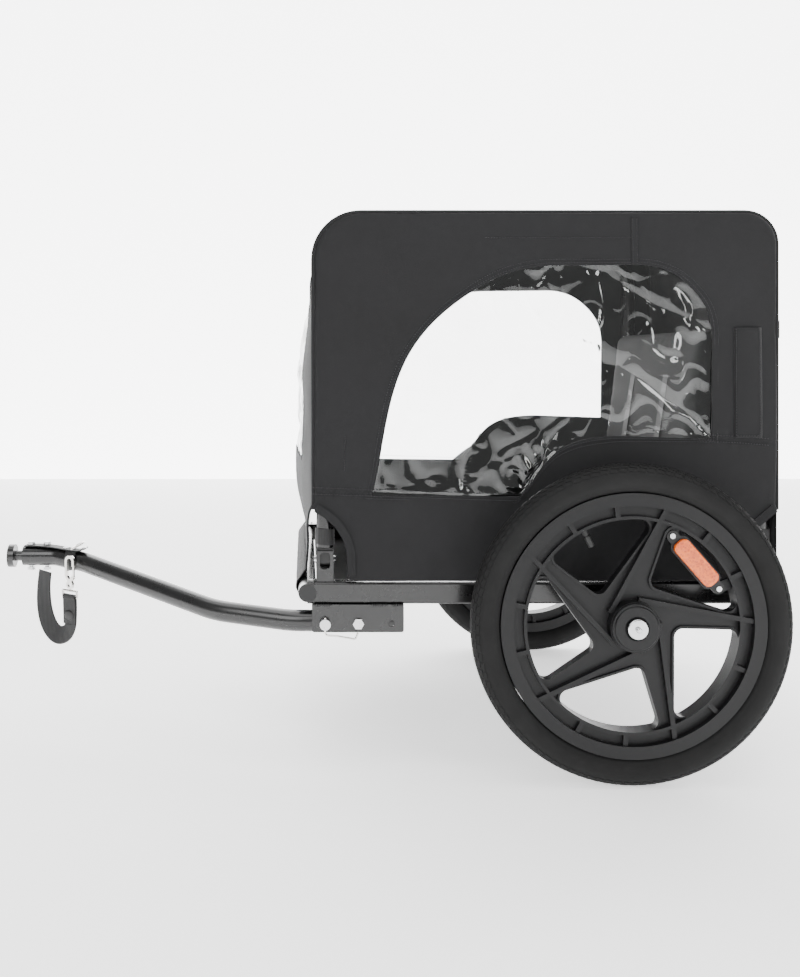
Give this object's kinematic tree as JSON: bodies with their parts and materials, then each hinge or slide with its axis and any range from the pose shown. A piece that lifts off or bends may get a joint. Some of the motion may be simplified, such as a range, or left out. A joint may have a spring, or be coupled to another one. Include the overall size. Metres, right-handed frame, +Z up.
{
  "type": "child bicycle trailer",
  "caption": "Enclosed two-wheeled child trailer for a bicycle: fabric cabin with clear windows on a folding tube frame, spoked quick-release wheels and a cranked folding tow bar.",
  "frame": {"origin": "centre of the whole object's box, on the ground under it", "axes": "+X to the rear, -X to the bicycle; +Y to the trailer's right; +Z up; wheels turn about Y"},
  "size_m": [1.0549, 0.716, 0.7239],
  "materials": {
    "frame_paint": "gloss black powder coat",
    "tyre": "matt black rubber",
    "wheel_plastic": "moulded black nylon, satin",
    "hub_plastic": "moulded, satin gloss",
    "trim_plastic": "moulded dark plastic",
    "bearing_steel": "ground steel",
    "zinc": "zinc plated",
    "chrome": "nickel plated wire",
    "amber_lens": "moulded amber acrylic",
    "valve_rubber": "rubber covered stem",
    "cover_cloth": "coated polyester weave",
    "floor_cloth": "coated polyester, plain",
    "seat_cloth": "padded polyester",
    "webbing": "woven polyester webbing",
    "zip_tape": "coil zip on woven tape",
    "zip_metal": "black zip slider",
    "clear_vinyl": "clear flexible vinyl, glossy"
  },
  "bodies": {
    "frame": {"left_side_rail": "frame_paint", "right_side_rail": "frame_paint", "front_cross_tube": "frame_paint", "rear_cross_tube": "frame_paint", "tube_end_plugs": "trim_plastic", "axle_cross_tube": "frame_paint", "axle_receptacles": "bearing_steel", "hinge_brackets": "frame_paint", "hinge_bolts": "zinc", "roof_cover": "cover_cloth", "front_cover": "cover_cloth", "front_window": "clear_vinyl", "rear_cover": "cover_cloth", "rear_zip_tape": "zip_tape", "floor_sheet": "floor_cloth", "seat_base": "seat_cloth", "seat_back": "seat_cloth", "harness_straps": "webbing", "harness_buckle": "trim_plastic", "left_quick_axle": "zinc", "right_quick_axle": "zinc", "towbar_bracket": "frame_paint", "towbar_pivot_bolt": "zinc"},
    "left_wheel": {"left_tyre": "tyre", "left_rim": "wheel_plastic", "left_hub_cap": "hub_plastic", "left_wheel_bearings": "bearing_steel", "left_reflector_base": "trim_plastic", "left_reflector_lens": "amber_lens", "left_reflector_screws": "zinc", "left_air_valve": "valve_rubber"},
    "right_wheel": {"right_tyre": "tyre", "right_rim": "wheel_plastic", "right_hub_cap": "hub_plastic", "right_wheel_bearings": "bearing_steel", "right_reflector_base": "trim_plastic", "right_reflector_lens": "amber_lens", "right_reflector_screws": "zinc", "right_air_valve": "valve_rubber"},
    "left_button": {"left_axle_button": "zinc"},
    "right_button": {"right_axle_button": "zinc"},
    "left_side": {"left_hoop": "frame_paint", "left_hoop_feet": "trim_plastic", "left_side_panel": "cover_cloth", "left_side_window": "clear_vinyl"},
    "right_side": {"right_hoop": "frame_paint", "right_hoop_feet": "trim_plastic", "right_side_panel": "cover_cloth", "right_side_window": "clear_vinyl"},
    "towbar": {"towbar_tube": "frame_paint", "hitch_stub": "frame_paint", "coupler_bolts": "zinc", "safety_strap": "webbing", "strap_ring": "chrome", "snap_hook": "chrome"},
    "lock_pin": {"lock_pin": "zinc"},
    "bail": {"lock_pin_bail": "chrome"},
    "gate": {"snap_gate": "chrome"},
    "zip_slider": {"zip_slider": "zip_metal"},
    "zip_pull": {"zip_pull": "zip_metal"}
  },
  "joints": [
    {"name": "left_wheel_spin", "type": "hinge", "parent": "frame", "child": "left_wheel", "pos_m": [0.30985, -0.32, 0.2], "axis": [0, 1, 0], "continuous": true},
    {"name": "right_wheel_spin", "type": "hinge", "parent": "frame", "child": "right_wheel", "pos_m": [0.30985, 0.32, 0.2], "axis": [0, 1, 0], "continuous": true},
    {"name": "left_axle_button_press", "type": "slide", "parent": "frame", "child": "left_button", "axis": [0, 1, 0], "range_m": [0, 0.004], "stiffness_N_per_m": 400},
    {"name": "right_axle_button_press", "type": "slide", "parent": "frame", "child": "right_button", "axis": [0, -1, 0], "range_m": [0, 0.004], "stiffness_N_per_m": 400},
    {"name": "towbar_fold", "type": "hinge", "parent": "frame", "child": "towbar", "pos_m": [-0.02815, -0.253, 0.188], "axis": [0, -1, 0], "range_deg": [0, 180], "deforming": ["safety_strap"]},
    {"name": "lock_pin_pull", "type": "slide", "parent": "frame", "child": "lock_pin", "axis": [0, -1, 0], "range_m": [0, 0.06]},
    {"name": "lock_pin_bail_swing", "type": "hinge", "parent": "lock_pin", "child": "bail", "pos_m": [-0.07115, -0.2749, 0.188], "axis": [0, 0, -1], "range_deg": [0, 100]},
    {"name": "left_side_fold", "type": "hinge", "parent": "frame", "child": "left_side", "pos_m": [0.30985, -0.249, 0.2677], "axis": [-1, 0, 0], "range_deg": [0, 70], "deforming": ["seat_back", "harness_straps"]},
    {"name": "right_side_fold", "type": "hinge", "parent": "frame", "child": "right_side", "pos_m": [0.30985, 0.249, 0.2517], "axis": [1, 0, 0], "range_deg": [0, 90]},
    {"name": "zip_slide", "type": "slide", "parent": "frame", "child": "zip_slider", "axis": [0, 0, -1], "range_m": [-0.07, 0.28]},
    {"name": "zip_pull_swing", "type": "hinge", "parent": "zip_slider", "child": "zip_pull", "pos_m": [0.52635, -0.244, 0.58], "axis": [0, -1, 0], "range_deg": [0, 90]},
    {"name": "snap_gate_open", "type": "hinge", "parent": "towbar", "child": "gate", "pos_m": [-0.42637, -0.13095, 0.2206], "axis": [-0.5636, -0.826, 0], "range_deg": [0, 22], "stiffness_Nm_per_rad": 0.02}
  ]
}
